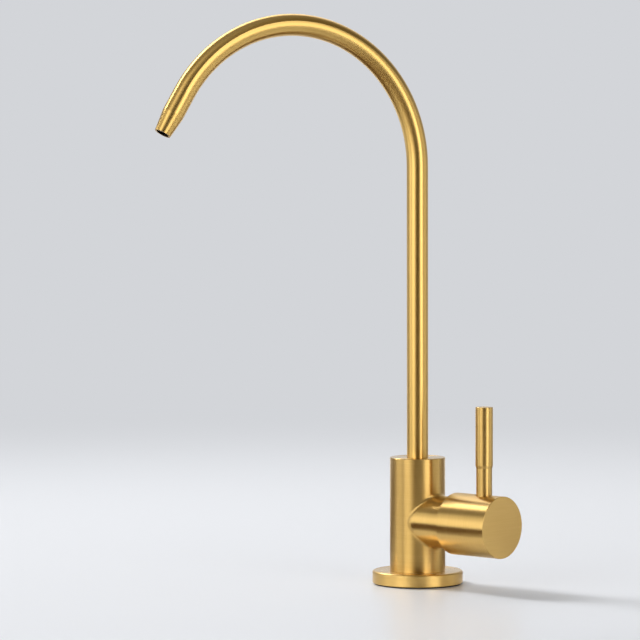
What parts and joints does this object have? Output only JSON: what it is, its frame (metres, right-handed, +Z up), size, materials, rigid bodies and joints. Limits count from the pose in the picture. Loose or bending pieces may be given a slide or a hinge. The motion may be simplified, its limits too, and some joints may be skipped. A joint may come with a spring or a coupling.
{
  "type": "drinking water filter tap",
  "caption": "Deck-mounted drinking water tap: swivel gooseneck tube spout on a round column with a quarter-turn lever on a side branch, threaded shank and push-fit tube inlet.",
  "frame": {"origin": "on the worktop's top face, under the axis of the round body", "axes": "+Z up along the body and riser; +X along the side branch to the handle; -Y to the sink. At rest the lever stands up (closed) and the spout points 19.35 degrees from -Y towards -X."},
  "size_m": [0.1178, 0.1772, 0.3994],
  "materials": {
    "gold_body": "brushed, gold PVD coating",
    "gold_spout": "brushed, gold PVD coating",
    "gold_handle": "brushed, gold PVD coating",
    "black_rubber": "matt nitrile rubber",
    "brass": "turned",
    "stainless": "bright turned",
    "white_acetal": "moulded",
    "grey_acetal": "moulded",
    "alumina": "lapped"
  },
  "bodies": {
    "tap_body": {"body_tee": "gold_body", "base_flange": "gold_body", "base_gasket": "black_rubber", "threaded_shank": "stainless", "shank_seal_washer": "black_rubber", "spout_lock_screw": "stainless", "cartridge_seat_seal": "black_rubber", "cartridge_housing": "brass", "cartridge_oring": "black_rubber", "cartridge_nut": "brass", "fixed_disc": "alumina", "stem_glide_washer": "white_acetal", "hub_glide_ring": "white_acetal", "adaptor_body": "white_acetal", "adaptor_washer": "black_rubber", "port_oring": "black_rubber", "port_sleeve": "grey_acetal"},
    "spout": {"spout_tube": "gold_spout", "spout_foot": "brass", "spout_oring_lower": "black_rubber", "spout_oring_upper": "black_rubber", "spout_wear_ring": "white_acetal"},
    "handle": {"handle_hub": "gold_handle", "lever_stem": "gold_handle", "lever_grip": "gold_handle", "valve_stem": "brass", "moving_disc": "alumina", "stem_oring_inner": "black_rubber", "stem_oring_outer": "black_rubber", "stop_washer": "stainless", "stem_clip": "stainless"},
    "clamp": {"deck_washer": "black_rubber", "clamp_washer": "stainless", "lock_washer": "stainless"},
    "clamp_nut": {"mounting_nut": "brass"},
    "tube_collet": {"collet": "grey_acetal"}
  },
  "joints": [
    {"name": "spout_swivel", "type": "hinge", "parent": "tap_body", "child": "spout", "pos_m": [0, 0, 0.06], "axis": [0, 0, 1], "continuous": true},
    {"name": "handle_turn", "type": "hinge", "parent": "tap_body", "child": "handle", "pos_m": [0.045, 0, 0.03574], "axis": [1, 0, 0], "range_deg": [0, 90]},
    {"name": "clamp_slide", "type": "slide", "parent": "tap_body", "child": "clamp", "axis": [0, 0, 1], "range_m": [-0.017, 0.017]},
    {"name": "nut_turn", "type": "hinge", "parent": "clamp", "child": "clamp_nut", "pos_m": [0, 0, -0.029], "axis": [0, 0, 1], "range_deg": [-5760, 5760]},
    {"name": "collet_press", "type": "slide", "parent": "tap_body", "child": "tube_collet", "axis": [0, 0, 1], "range_m": [0, 0.0012]}
  ],
  "couplings": [
    {"joint": "clamp_slide", "follows": "nut_turn", "m_per_rad": 0.00016839}
  ]
}
